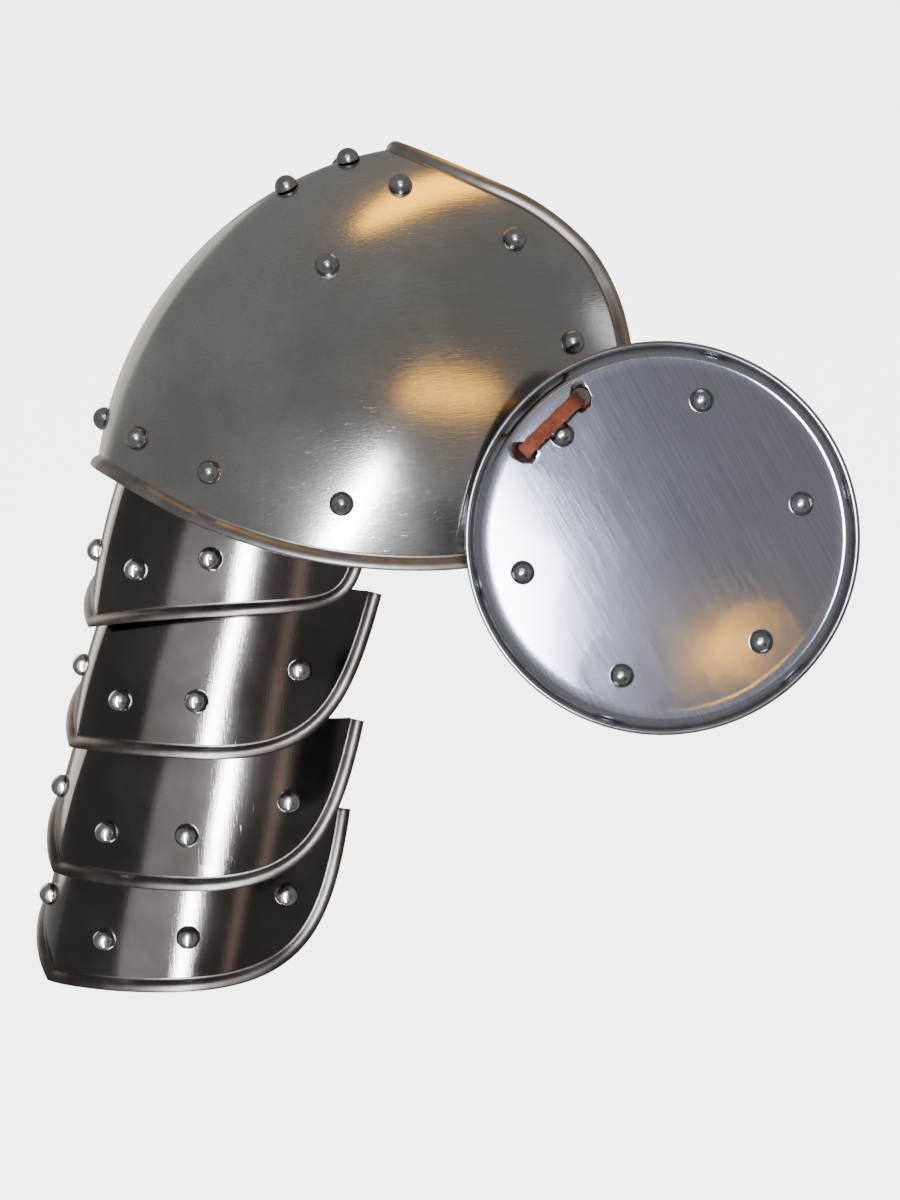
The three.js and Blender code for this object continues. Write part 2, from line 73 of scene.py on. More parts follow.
# front edge of a lobe, from the neck round to the arm, in keel radii
outline = np.array([
    (-0.118, 0.993), (0.040, 0.912), (0.163, 0.849), (0.256, 0.772), (0.316, 0.689), (0.349, 0.550),
    (0.335, 0.340), (0.260, 0.155), (0.112, 0.036), (-0.110, -0.016), (-0.358, -0.014), (-0.608, 0.025),
    (-0.829, 0.102), (-0.982, 0.191),
])


def spline(points, samples=60):
    """Even Catmull-Rom curve through the points, as a dense line and its length shares."""
    padded = np.vstack([points[0], points, points[-1]])
    line = []
    for k in range(len(points) - 1):
        a, b, c, d = padded[k:k + 4]
        u = np.linspace(0, 1, samples, endpoint=False)[:, None]
        v0, v1 = (c - a) / 2, (d - b) / 2
        line.append((2 * b - 2 * c + v0 + v1) * u ** 3 + (-3 * b + 3 * c - 2 * v0 - v1) * u ** 2 + v0 * u + b)
    line = np.vstack([*line, points[-1]])
    length = np.concatenate([[0], np.cumsum(np.linalg.norm(np.diff(line, axis=0), axis=1))])
    return line, length / length[-1]


edge_line, edge_share = spline(outline)


def dome(along, across):
    """Point and outward normal of the main plate's outer face."""
    angle = math.radians(top_angle + (bottom_angle - top_angle) * along)
    keel = np.array([-math.sin(angle), math.cos(angle)])
    share = edge_start + (edge_end - edge_start) * along
    edge = np.array([np.interp(share, edge_share, edge_line[:, k]) for k in (0, 1)])
    plan = (keel + (edge - keel) * (1 - math.cos(abs(across) * math.pi / 2))) * keel_radius
    depth = dome_depth * math.sqrt(1 - plan @ plan / lobe_radius ** 2) - lobe_shift
    side = -np.sign(across)
    point = np.array([plan[0], side * depth, plan[1]])
    normal = np.array([plan[0] / lobe_radius ** 2, side * (depth + lobe_shift) / dome_depth ** 2,
                       plan[1] / lobe_radius ** 2])
    return point + centre, normal / np.linalg.norm(normal)


# Shader maths: a socket that can be added, multiplied and so on
class Value:
    def __init__(self, tree, socket):
        self.tree = tree
        self.socket = socket

    def math(self, operation, *others, clamp=False):
        node = self.tree.nodes.new("ShaderNodeMath")
        node.operation = operation
        node.use_clamp = clamp
        for slot, item in zip(node.inputs, (self, *others)):
            connect(self.tree, item, slot)
        return Value(self.tree, node.outputs[0])

    def __add__(self, other):
        return self.math("ADD", other)

    __radd__ = __add__

    def __mul__(self, other):
        return self.math("MULTIPLY", other)

    __rmul__ = __mul__

    def __sub__(self, other):
        return self.math("SUBTRACT", other)

    def __rsub__(self, other):
        return (self * -1.0) + other

    def __truediv__(self, other):
        return self.math("DIVIDE", other)

    def __pow__(self, other):
        return self.math("POWER", other)

    def step(self, low, high):
        """0 below low, 1 above high, and smooth between."""
        share = ((self - low) / (high - low)).math("MULTIPLY", 1.0, clamp=True)
        return share * share * (3.0 - share * 2.0)


def connect(tree, item, slot):
    if isinstance(item, Value):
        tree.links.new(item.socket, slot)
    else:
        slot.default_value = item


class Paint:
    """A material: node() makes any node, mix() blends colours, dot() gives a coordinate along a direction."""

    def __init__(self, name):
        self.material = bpy.data.materials.new(name)
        self.material.use_nodes = True
        self.tree = self.material.node_tree
        self.shader = self.tree.nodes["Principled BSDF"]
        self.place = self.node("ShaderNodeTexCoord", output="Object")

    def node(self, kind, output=0, settings=None, **inputs):
        node = self.tree.nodes.new(kind)
        for key, value in (settings or {}).items():
            setattr(node, key, value)
        for key, value in inputs.items():
            connect(self.tree, value, node.inputs[key.replace("_", " ")])
        return Value(self.tree, node.outputs[output])

    def dot(self, direction):
        node = self.tree.nodes.new("ShaderNodeVectorMath")
        node.operation = "DOT_PRODUCT"
        connect(self.tree, self.place, node.inputs[0])
        node.inputs[1].default_value = direction
        return Value(self.tree, node.outputs["Value"])

    def noise(self, scales, detail=3.0, roughness=0.55, axes=((1, 0, 0), (0, 1, 0), (0, 0, 1))):
        """Noise whose grain is 1/scale metres long along each of three directions."""
        parts = [self.dot(axis) * scale for axis, scale in zip(axes, scales)]
        vector = self.node("ShaderNodeCombineXYZ", X=parts[0], Y=parts[1], Z=parts[2])
        return self.node("ShaderNodeTexNoise", Vector=vector, Scale=1.0, Detail=detail, Roughness=roughness)

    def mix(self, share, low, high):
        node = self.tree.nodes.new("ShaderNodeMix")
        node.data_type = "RGBA"
        connect(self.tree, share, node.inputs["Factor"])
        for item, slot in ((low, node.inputs[6]), (high, node.inputs[7])):
            connect(self.tree, (*item, 1.0) if isinstance(item, tuple) else item, slot)
        return Value(self.tree, node.outputs[2])

    def bump(self, height, distance, strength=1.0):
        normal = self.node("ShaderNodeBump", Height=height, Distance=distance, Strength=strength)
        connect(self.tree, normal, self.shader.inputs["Normal"])

    def set(self, **inputs):
        for key, value in inputs.items():
            slot = self.shader.inputs[key.replace("_", " ")]
            connect(self.tree, (*value, 1.0) if isinstance(value, tuple) else value, slot)
        return self.material


# Steel of the main plate: satin polished iron with fine strokes, scratches, small pits and a cloudy tone
paint = Paint("plate_steel")
cloud = paint.noise((11, 11, 11), detail=5, roughness=0.6)
pits = paint.noise((900, 900, 900), detail=2)
strokes = paint.noise((60, 900, 1500), detail=4, roughness=0.65)
scratch = paint.noise((160, 90, 2600), detail=2).step(0.69, 0.73)
colour = paint.mix(cloud.step(0.36, 0.64), (0.335, 0.325, 0.315), (0.455, 0.45, 0.445))
colour = paint.mix(strokes.step(0.3, 0.7) * 0.25, colour, (0.25, 0.24, 0.235))
colour = paint.mix(scratch * 0.15, colour, (0.62, 0.61, 0.6))
colour = paint.mix(pits.step(0.7, 0.8) * 0.5, colour, (0.2, 0.19, 0.185))
paint.bump(strokes * 0.8 + scratch * 0.12 - pits.step(0.68, 0.8) * 0.4, 0.00004)
plate_steel = paint.set(Base_Color=colour, Metallic=1.0, Roughness=0.13 + cloud * 0.09 + scratch * 0.08)


def rim_steel(name, dark_tone, bright, roughness):
    """Rims rougher than their plate's field, and painted darker than it: painted shade that dims their
    highlights.
    """
    paint = Paint(name)
    cloud = paint.noise((60, 60, 60), detail=4)
    pits = paint.noise((1100, 1100, 1100), detail=2)
    paint.bump(pits * 0.6 + cloud, 0.00006)
    # both tones are darker than the steel of their plate: painted shade on the rims
    colour = paint.mix(cloud.step(0.35, 0.7), dark_tone, bright)
    return paint.set(Base_Color=colour, Metallic=1.0, Roughness=roughness + cloud * 0.12)


# painted darker than the main plate's steel: painted shade on its rim
plate_rim_steel = rim_steel("plate_rim_steel", (0.22, 0.212, 0.204), (0.32, 0.31, 0.3), 0.34)


# A plate drawn as rows and columns of points on its outer face, with outward normals
class Sheet:
    def __init__(self):
        self.points = []
        self.faces = []
        self.bands = []

    def add(self, point):
        self.points.append(np.asarray(point, float))
        return len(self.points) - 1

    def grid(self, rows, band=0, closed=False):
        for upper, lower in zip(rows, rows[1:]):
            count = len(upper)
            for k in range(count if closed else count - 1):
                n = (k + 1) % count
                self.faces.append((upper[k], lower[k], lower[n], upper[n]))
                self.bands.append(band)


# how far out from the edge and how high over the plate each row of the rim lies
rim_profile = (
    (0.4, -0.1), (0.8, 0.1), (1.2, 0.7), (1.7, 1.5), (2.4, 2.2), (3.3, 2.6), (4.1, 2.75), (4.7, 2.7),
    (5.0, 2.4),
)


def smooth_loop(vectors, closed, passes):
    """Evens out directions from point to point along a run."""
    for _ in range(passes):
        if closed:
            around = np.roll(vectors, 1, 0) + np.roll(vectors, -1, 0)
        else:
            around = vectors * 2
            around[1:-1] = vectors[:-2] + vectors[2:]
        vectors = vectors * 0.5 + around * 0.25
    return vectors / np.linalg.norm(vectors, axis=1)[:, None]


def add_rim(sheet, run, normals, closed):
    """Flares a rim outwards from a run of edge points that goes anticlockwise seen from outside."""
    points = np.array([sheet.points[i] for i in run])
    if closed:
        tangent = np.roll(points, -1, 0) - np.roll(points, 1, 0)
    else:
        tangent = np.gradient(points, axis=0)
    outward = smooth_loop(np.cross(tangent, normals), closed, 6)
    rows = [list(run)]
    for out, rise in rim_profile:
        rows.append([sheet.add(p) for p in points + outward * out + normals * rise])
    sheet.grid(rows, band=1, closed=closed)


def new_piece(name, points, faces, materials, bands=None, placed=None, sharp=None):
    """A smooth mesh from points in millimetres. Edges sharper than an angle in degrees stay sharp."""
    points = np.array(points)
    if placed is not None:
        points = points @ np.array(placed.to_3x3()).T + np.array(placed.translation)
    mesh = bpy.data.meshes.new(name)
    mesh.from_pydata((points / 1000).tolist(), [], faces)
    mesh.polygons.foreach_set("material_index", bands or [0] * len(faces))
    mesh.polygons.foreach_set("use_smooth", [True] * len(faces))
    for material in materials:
        mesh.materials.append(material)
    if sharp is not None:
        mesh.set_sharp_from_angle(angle=math.radians(sharp))
    piece = bpy.data.objects.new(name, mesh)
    scene.collection.objects.link(piece)
    return piece


def sheet_piece(name, sheet, materials, placed=None):
    """Gives a sheet its thickness, rounds its edges and puts it in the scene."""
    piece = new_piece(name, sheet.points, sheet.faces, materials, sheet.bands, placed)
    solid = piece.modifiers.new("thickness", "SOLIDIFY")
    solid.thickness = plate / 1000
    solid.offset = -1
    edge = piece.modifiers.new("edge", "BEVEL")
    edge.width = edge_round / 1000
    edge.segments = 2
    edge.limit_method = "ANGLE"
    edge.angle_limit = math.radians(60)
    return piece


def finish_piece(piece, slot, *nodes):
    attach(piece, "root")
    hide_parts(*nodes)


def near_edges(count, first, low=0.0, high=1.0):
    """Even steps with one close row at each end, so a bend there stays tight."""
    steps = np.linspace(low, high, count)
    return [low, low + first, *steps[1:-1], high - first, high]


dome_rows = near_edges(84, 0.004)
dome_columns = [
    math.copysign(2 / math.pi * math.acos(1 - abs(v) ** 1.25), v) for v in near_edges(105, 0.008, -1.0, 1.0)
]
sheet = Sheet()
grid, normals = [], []
for along in dome_rows:
    pairs = [dome(along, across) for across in dome_columns]
    grid.append([sheet.add(point) for point, _ in pairs])
    normals.append([normal for _, normal in pairs])
last = len(grid) - 1
sheet.grid(grid)
loop = [(row, 0) for row in range(last + 1)]
loop += [(last, k) for k in range(1, len(dome_columns) - 1)]
loop += [(row, len(dome_columns) - 1) for row in range(last, -1, -1)]
loop += [(0, k) for k in range(len(dome_columns) - 2, 0, -1)]
add_rim(
    sheet,
    [grid[row][k] for row, k in loop],
    smooth_loop(np.array([normals[row][k] for row, k in loop]), True, 3),
    True,
)
main_plate = sheet_piece("main_plate_shell", sheet, (plate_steel, plate_rim_steel))
finish_piece(main_plate, "plate_steel", "main_plate")


# Arm lames: four strips bent into two arcs that meet in a keel, each flared along its lower edge and
# both ends. They lap like scales, each under the plate above, and are riveted to the leathers inside.
arm_radius, keel_offset, dish_radius, dish_height = 88.0, 11.5, 250.0, 12.0
half_arc, pitch = 103.5, 47.0
arm_setback, lame_step, lame_gap = 8.0, 5.2, 0.5
edge_rise, edge_drop, top_share = 0.32, 17.0, 0.9
lames = [
    # pitch, forward, tilt, turn, roll, top at the keel, top at the ends, rivets a side
    (1.436, -0.058, 16.5, 0.5, -3.5, 0.96, 0.68, 2),
    (1.032, 0.087, 0.95, 1.56, 6.5, 0.81, 1.574, 3),
    (0.976, 0.082, -2.6, 6.1, 3.9, 0.81, 1.574, 3),
    (0.893, 0.006, -0.8, 6.1, -1.6, 0.81, 1.574, 3),
]
# each column of rivets, as shares of the half arc and of the pitch
lame_rivets = [(0.206, 0.106), (0.512, 0.362), (0.836, 0.851)]

# Mirror-polished, faintly scratched up and down, and painted far darker than the main plate: painted shade
paint = Paint("lame_steel")
cloud = paint.noise((24, 24, 24), detail=4)
grain = paint.noise((1400, 1400, 70), detail=4, roughness=0.65)
scratch = paint.noise((1500, 1500, 60), detail=2).step(0.7, 0.76)
# both tones stand for the dark surroundings the lames mirror: painted shade, not the steel's own colour
colour = paint.mix(cloud.step(0.35, 0.7), (0.07, 0.063, 0.06), (0.11, 0.101, 0.097))
paint.bump(grain * 0.7 + scratch * 0.15, 0.00003)
lame_steel = paint.set(Base_Color=colour, Metallic=1.0, Roughness=0.08 + cloud * 0.07 + scratch * 0.05)
# the lame rims are painted darker still than the lames: painted shade on the rims
lame_rim_steel = rim_steel("lame_rim_steel", (0.045, 0.04, 0.037), (0.085, 0.077, 0.071), 0.3)


def lame_face(radius, s, h, depth=0.0):
    """Point and outward normal of a lame in its own frame, sunk by a depth."""
    dished = radius - (h - dish_height) ** 2 / (2 * dish_radius) - depth
    slope = (h - dish_height) / dish_radius
    start = math.asin(keel_offset / dished)
    if s == 0:
        normal = np.array([-1.0, 0.0, slope])
        return np.array([-dished * math.cos(start), 0.0, h]), normal / np.linalg.norm(normal)
    angle = start + abs(s) / radius
    side = -math.copysign(1, s)
    point = np.array([-dished * math.cos(angle), side * (dished * math.sin(angle) - keel_offset), h])
    normal = np.array([-math.cos(angle), side * math.sin(angle), slope])
    return point, normal / np.linalg.norm(normal)


def lame_top(s, at_keel, at_end):
    share = (1 - math.cos(math.pi * min(abs(s) / half_arc, 1) ** 1.2)) / 2
    return pitch * (at_keel + (at_end - at_keel) * share)


def lame_edge(at_end):
    """Lower edge and end of half a lame, as a line in s and h with its length shares."""

    def bottom(share):
        return np.array([half_arc * share, half_arc * share * edge_rise - edge_drop])

    top = np.array([half_arc, pitch * at_end])
    a, b, c = bottom(0.58), bottom(0.957), np.array([half_arc * 0.995, top[1] * 0.4])
    u = np.linspace(0, 1, 60)[:, None]
    curve = a * (1 - u) ** 3 + 3 * b * u * (1 - u) ** 2 + 3 * c * u ** 2 * (1 - u) + top * u ** 3
    line = np.vstack([np.linspace(bottom(0), a, 60)[:-1], curve])
    length = np.concatenate([[0], np.cumsum(np.linalg.norm(np.diff(line, axis=0), axis=1))])
    return line, length / length[-1]


place = Matrix.Translation(Vector(dome(1.0, 0.0)[0]) + Vector((arm_radius - arm_setback, 0, 0)))
lame_places = []
rivet_seats = {}
for index, (drop, forward, tilt, turn, roll, at_keel, at_end, columns) in enumerate(lames):
    number = index + 1
    radius = arm_radius - index * lame_step
    # the same order of turns as the solids: roll about X and turn about Z, then tilt about Y
    turns = (Matrix.Rotation(math.radians(tilt), 4, "Y") @ Matrix.Rotation(math.radians(roll), 4, "X")
             @ Matrix.Rotation(math.radians(turn), 4, "Z"))
    place = place @ Matrix.Translation((0, forward * pitch, -drop * pitch)) @ turns
    lame_places.append(place)
    line, share = lame_edge(at_end)
    sheet = Sheet()
    steps = near_edges(97, 0.008, -1.0, 1.0)
    heights = [0, 0.008, *np.linspace(0.04, 1, 24)]
    grid, run_normals = [], []
    for step in steps:
        low = np.array([np.interp(abs(step), share, line[:, k]) for k in (0, 1)])
        top_s = top_share * half_arc * abs(step)
        high = np.array([top_s, lame_top(top_s, at_keel, at_end)])
        column = []
        for height in heights:
            s, h = low + (high - low) * height
            point, normal = lame_face(radius, math.copysign(s, step) if step else 0, h)
            column.append(sheet.add(point))
            if height == 0:
                run_normals.append(normal)
        grid.append(column)
    sheet.grid([[column[k] for column in grid] for k in range(len(heights) - 1, -1, -1)])
    add_rim(sheet, [column[0] for column in grid], smooth_loop(np.array(run_normals), False, 3), False)
    lame = sheet_piece(f"lame_{number}_shell", sheet, (lame_steel, lame_rim_steel), place)
    finish_piece(lame, "plate_steel", f"lame_{number}")
    seats = []
    for along, rise in lame_rivets[:columns]:
        for side in (1, -1):
            point, normal = lame_face(radius, side * along * half_arc, rise * pitch)
            seats.append((place @ Vector(point), place.to_3x3() @ Vector(normal)))
    rivet_seats[f"lame_{number}"] = seats


# Besagew disc: one round sheet, slightly crowned, with its lip turned up to the front and rolled over a
# bead. Its steel is bluer than the plates' and brushed on a slant. It hangs on the lace.
disc_radius, lip_width, crown_height = 71.5, 5.5, 1.5
bend = disc_radius - lip_width
rivet_circle = 52
rivet_turns = [math.radians(135 - 60 * k) for k in range(6)]
turn, lean = math.radians(29.2), math.radians(14.75)
disc_turn = Matrix((
    (math.cos(turn), math.sin(turn) * math.sin(lean), -math.sin(turn) * math.cos(lean)),
    (-math.sin(turn), math.cos(turn) * math.sin(lean), -math.cos(turn) * math.cos(lean)),
    (0.0, math.cos(lean), math.sin(lean)),
))
bearing = math.radians(161.5)
touch = Vector(dome(0.54, 0.85)[0])
reach = Vector((-bend * math.cos(bearing), -bend * math.sin(bearing), plate + gap))
disc_place = Matrix.Translation(touch + disc_turn @ reach) @ disc_turn.to_4x4()

paint = Paint("disc_steel")
right, up, out = (tuple(disc_turn.col[k]) for k in range(3))
slant = math.radians(30)
stroke = tuple(math.cos(slant) * a - math.sin(slant) * b for a, b in zip(up, right))
across = tuple(math.sin(slant) * a + math.cos(slant) * b for a, b in zip(up, right))
brushed = paint.noise((26, 2400, 26), detail=4, roughness=0.6, axes=(stroke, across, out))
fine = paint.noise((24, 5200, 24), detail=2, axes=(stroke, across, out))
cloud = paint.noise((22, 22, 22), detail=4)
nicks = paint.noise((60, 3200, 60), detail=1, axes=(across, stroke, out)).step(0.76, 0.8)
colour = paint.mix(brushed.step(0.3, 0.72), (0.345, 0.365, 0.445), (0.415, 0.435, 0.52))
colour = paint.mix(nicks * 0.4, colour, (0.6, 0.6, 0.66))
dents = 1.0
for angle in rivet_turns:
    dent = disc_place @ Vector((rivet_circle * math.cos(angle), rivet_circle * math.sin(angle), 0)) / 1000
    away = [(paint.dot(axis) - dent.dot(Vector(axis))) ** 2.0 for axis in (right, up)]
    dents = dents * (away[0] + away[1]).step(0.00002, 0.00028)
paint.bump((brushed * 0.4 + fine * 0.6) * 0.2 + dents, 0.00004)
disc_steel = paint.set(Base_Color=colour, Metallic=1.0, Roughness=0.06 + brushed * 0.07 + cloud * 0.05)

paint = Paint("lip_steel")
cloud = paint.noise((60, 60, 60), detail=3)
paint.bump(cloud, 0.0001)
lip_steel = paint.set(
    Base_Color=paint.mix(cloud.step(0.3, 0.7), (0.28, 0.28, 0.3), (0.4, 0.4, 0.42)),
    Metallic=1.0,
    Roughness=0.14 + cloud * 0.08,
)


def crown(radius):
    return crown_height * (1 - (radius / bend) ** 2)


def lathe(name, profile, sides, materials, bands=None, placed=None):
    """Turns a profile of (radius, height) about Z. A radius of zero closes it at the middle."""
    points, rings, faces, index = [], [], [], []
    for radius, height in profile:
        if radius == 0:
            rings.append([len(points)] * sides)
            points.append((0.0, 0.0, height))
        else:
            rings.append(list(range(len(points), len(points) + sides)))
            for k in range(sides):
                angle = 2 * math.pi * k / sides
                points.append((radius * math.cos(angle), radius * math.sin(angle), height))
    for level, (lower, upper) in enumerate(zip(rings, rings[1:])):
        for k in range(sides):
            n = (k + 1) % sides
            corner = [lower[k], lower[n], upper[n], upper[k]]
            face = [v for j, v in enumerate(corner) if v not in corner[:j]]
            faces.append(face)
            index.append(bands[level] if bands else 0)
    return new_piece(name, points, faces, materials, index, placed, sharp=50)


face_rings = [(bend * k / 16, crown(bend * k / 16)) for k in range(15, -1, -1)]
back_rings = [(bend * k / 16, crown(bend * k / 16) - plate) for k in range(0, 16)]
lip = [
    (66.2, -1.15), (67.6, -0.5), (69.0, 0.6), (70.1, 1.75), (70.9, 2.5), (71.45, 3.0), (71.45, 3.5),
    (71.1, 3.95), (70.5, 4.1), (69.8, 3.95), (69.35, 3.5), (69.3, 3.0), (69.1, 2.6), (68.5, 1.75),
    (67.5, 0.75), (66.3, 0.15), (65.4, 0.02),
]
profile = back_rings + lip + face_rings
bands = [0] * (len(back_rings) - 1) + [1] * (len(lip) - 2) + [0] * (len(face_rings) + 2)
disc = lathe("besagew_plate", profile, 160, (disc_steel, lip_steel), bands, disc_place)

# The two lace holes are punched through the disc outside its upper left rivet
hole_turn = rivet_turns[0]
radial = Vector((math.cos(hole_turn), math.sin(hole_turn), 0))
along = Vector((-math.sin(hole_turn), math.cos(hole_turn), 0))
lace_setback, lace_span, hole_radius = 5.3, 28.2, 3.7
lace_line = rivet_circle + lace_setback
for side in (-0.5, 0.5):
    spot = radial * lace_line + along * (side * lace_span)
    drill_profile = [(0, -6), (hole_radius, -6), (hole_radius, 6), (0, 6)]
    drill_place = disc_place @ Matrix.Translation(spot)
    drill = lathe("drill", drill_profile, 32, (disc_steel,), placed=drill_place)
    cut = disc.modifiers.new("hole", "BOOLEAN")
    cut.object = drill
    cut.solver = "EXACT"
    bpy.context.view_layer.objects.active = disc
    bpy.ops.object.modifier_apply(modifier=cut.name)
    bpy.data.objects.remove(drill)
finish_piece(disc, "disc_steel", "besagew_disc")
seats = []
for angle in rivet_turns:
    spot = Vector((rivet_circle * math.cos(angle), rivet_circle * math.sin(angle), crown(rivet_circle)))
    seats.append((disc_place @ spot, disc_place.to_3x3() @ Vector((0, 0, 1))))
rivet_seats["disc"] = seats


# Rivets: domed heads of smooth steel, with a short tail hammered over inside. Those along the arm hold the
# leathers, the others are set in the bare plate.
paint = Paint("rivet_steel")
cloud = paint.noise((260, 260, 260), detail=3)
paint.bump(cloud, 0.00015, 0.6)
rivet_steel = paint.set(
    Base_Color=paint.mix(cloud.step(0.3, 0.7), (0.26, 0.26, 0.27), (0.38, 0.38, 0.39)),
    Metallic=1.0,
    Roughness=0.17 + cloud * 0.08,
)
# places on the main plate, along from the neck to the arm and across from the keel to the edge
dome_rivets = [
    (0.096, 0), (0.133, 0.424), (0.178, 0.780), (0.304, 0.883), (0.253, 0), (0.388, 0.356),
]
arm_rivets = [(0.916, 0.303), (0.874, 0.623), (0.745, 0.812)]
for name, table in (("plate", dome_rivets), ("plate_arm", arm_rivets)):
    places = [(a, b * side) for a, b in table for side in ((1, -1) if b else (1,))]
    rivet_seats[name] = [(Vector(dome(a, b)[0]), Vector(dome(a, b)[1])) for a, b in places]
bare, with_leather = 1.6, 4.0  # what a rivet grips
head_radius, head_height, shank_radius, tail_radius = 4.5, 4.8, 2.0, 2.8


def rows_of(prefix):
    return sorted(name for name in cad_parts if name.startswith(prefix))


def rivets(name, seats, grip, nodes):
    """A set of rivets as one mesh: head, shank and tail of each."""
    tilts = np.linspace(0.05, math.pi / 2 - 0.001, 9)[1:-1]
    head = [(head_radius * math.cos(a), 0.1 + (head_height - 0.1) * math.sin(a)) for a in tilts]
    profile = [
        (0, -grip - 1.2), (1.6, -grip - 1.0), (2.6, -grip - 0.5), (tail_radius, -grip), (shank_radius, -grip),
        (shank_radius, 0.0), (4.3, 0.0), (head_radius, 0.12), *head, (0, head_height),
    ]
    built = []
    for k, (point, normal) in enumerate(seats):
        turned = normal.to_track_quat("Z", "Y").to_matrix().to_4x4()
        placed = Matrix.Translation(point) @ turned
        built.append(lathe(f"{name}_{k}", profile, 28, (rivet_steel,), placed=placed))
    with bpy.context.temp_override(active_object=built[0], selected_editable_objects=built, object=built[0]):
        bpy.ops.object.join()
    piece = built[0]
    piece.name = name
    finish_piece(piece, "rivet_steel", *nodes)


rivets("rivets_plate", rivet_seats["plate"], bare, rows_of("rivet_neck") + rows_of("rivet_crown"))
rivets("rivets_plate_arm", rivet_seats["plate_arm"], with_leather, rows_of("rivet_arm"))
for number in range(1, 5):
    lame_name = f"lame_{number}"
    rivets(f"rivets_{lame_name}", rivet_seats[lame_name], with_leather, rows_of(f"rivet_{lame_name}"))
rivets("rivets_disc", rivet_seats["disc"], bare, rows_of("rivet_disc"))


# Lace: a strip of red-brown suede in a loop. It crosses the disc's upper left rivet and goes back through
# the two holes in the disc and the main plate. The real one is knotted inside; the loop here is closed.
paint = Paint("lace_leather")
nap = paint.noise((900, 900, 900), detail=4, roughness=0.7)
cloud = paint.noise((120, 120, 120), detail=3)
colour = paint.mix(cloud.step(0.3, 0.7), (0.05, 0.0105, 0.0045), (0.13, 0.029, 0.0115))
paint.bump(nap * 0.7 + cloud, 0.0005)
lace_leather = paint.set(
    Base_Color=paint.mix(nap.step(0.35, 0.75) * 0.5, colour, (0.17, 0.046, 0.021)),
    Roughness=0.92,
    Specular_IOR_Level=0.25,
    Sheen_Weight=0.15,
    Sheen_Tint=(0.6, 0.28, 0.18),
)


def soften(stations, reach, steps=5, closed=False):
    """Rounds the corners of a line of stations, each a point and an outward normal in one array."""
    count = len(stations)
    line = [] if closed else [stations[0]]
    for k in range(0 if closed else 1, count if closed else count - 1):
        before, corner, after = stations[k - 1], stations[k], stations[(k + 1) % count]
        ends = []
        for other in (before, after):
            length = np.linalg.norm((other - corner)[:3])
            ends.append(corner + (other - corner) * min(reach / length, 0.45))
        for u in np.linspace(0, 1, steps + 1):
            line.append(ends[0] * (1 - u) ** 2 + corner * 2 * u * (1 - u) + ends[1] * u ** 2)
    return line if closed else [*line, stations[-1]]


def strap(name, stations, width, thickness, material, closed=False, uneven=0.0):
    """Sweeps a flat section with rounded edges along the middle line of a strap, uneven where cut by hand."""
    edge = thickness * 0.42
    section = []
    for x, y, first in ((1, 1, 0), (-1, 1, 90), (-1, -1, 180), (1, -1, 270)):
        middle = (x * (width / 2 - edge), y * (thickness / 2 - edge))
        for turned in (0, 30, 60, 90):
            angle = math.radians(first + turned)
            section.append((middle[0] + edge * math.cos(angle), middle[1] + edge * math.sin(angle)))
    count, sides = len(stations), len(section)
    points = []
    for k, station in enumerate(stations):
        before = stations[k - 1] if closed or k else station
        after = stations[(k + 1) % count] if closed or k < count - 1 else station
        tangent = (after - before)[:3]
        across = np.cross(tangent, station[3:])
        across /= np.linalg.norm(across)
        outward = np.cross(across, tangent)
        outward /= np.linalg.norm(outward)
        wide = 1 + uneven * (math.sin(k * 0.61) + math.sin(k * 1.43 + 1) + math.sin(k * 2.9 + 2) * 0.5)
        points += [station[:3] + across * x * wide + outward * y for x, y in section]
    faces = []
    for k in range(count if closed else count - 1):
        here, there = k * sides, (k + 1) % count * sides
        for j in range(sides):
            n = (j + 1) % sides
            faces.append((here + j, here + n, there + n, there + j))
    if not closed:
        faces += [tuple(range(sides - 1, -1, -1)), tuple(range((count - 1) * sides, count * sides))]
    return new_piece(name, points, faces, (material,), sharp=50)


def plate_behind(spot):
    """Height of the main plate's front lobe behind a point of the disc, along the disc's axis."""
    scale = np.array((1 / lobe_radius, 1 / dome_depth, 1 / lobe_radius))
    start = (np.array(disc_place @ spot) - centre - (0, lobe_shift, 0)) * scale
    way = np.array(disc_turn.col[2]) * scale
    a, b = way @ way, start @ way
    return (-b + math.sqrt(b * b - a * (start @ start - 1))) / a


lace_width, lace_thickness = 6.5, 1.6
drawn_width = 5.4  # narrower than the solid, and nearer to the photograph
rivet_clearance = 0.4
feet = []
for end in (-0.5, 0.5):
    heights = []
    for side in (-0.5, 0.5):
        for shift in (-lace_thickness, lace_thickness):
            spot = radial * (lace_line + side * lace_width) + along * (end * lace_span + shift)
            heights.append(plate_behind(spot))
    feet.append(min(heights) - 2 * plate - gap - lace_thickness)
lift = crown(lace_line) + head_height + rivet_clearance + lace_thickness / 2
half, bow = lace_span / 2, lace_thickness * 2
loop = [
    # along the disc, height over it, then the outward direction along and up
    (-half, lace_thickness / 2, -1, 0.3), (bow * 0.5 - half, lift * 0.72, -1, 1),
    (bow * 1.5 - half, lift, -0.3, 1), (half - bow * 1.5, lift, 0.3, 1),
    (half - bow * 0.5, lift * 0.72, 1, 1), (half, lace_thickness / 2, 1, 0.3),
    (half, feet[1], 1, -1), (-half, feet[0], -1, -1),
]
stations = []
for x, height, tip, rise in loop:
    point = disc_place @ (radial * lace_line + along * x + Vector((0, 0, height)))
    normal = disc_turn @ (along * tip + Vector((0, 0, rise)))
    stations.append(np.array((*point, *normal.normalized())))
rounded = np.array(soften(stations, 4.0, closed=True))
rounded = np.vstack([rounded, rounded[:1]])
length = np.concatenate([[0], np.cumsum(np.linalg.norm(np.diff(rounded[:, :3], axis=0), axis=1))])
even = np.linspace(0, length[-1], 150)[:-1]
stations = np.stack([np.interp(even, length, rounded[:, k]) for k in range(6)], axis=1)
lace = strap("lace", stations, drawn_width, lace_thickness, lace_leather, closed=True, uneven=0.035)
finish_piece(lace, "lace_leather", "besagew_lace")

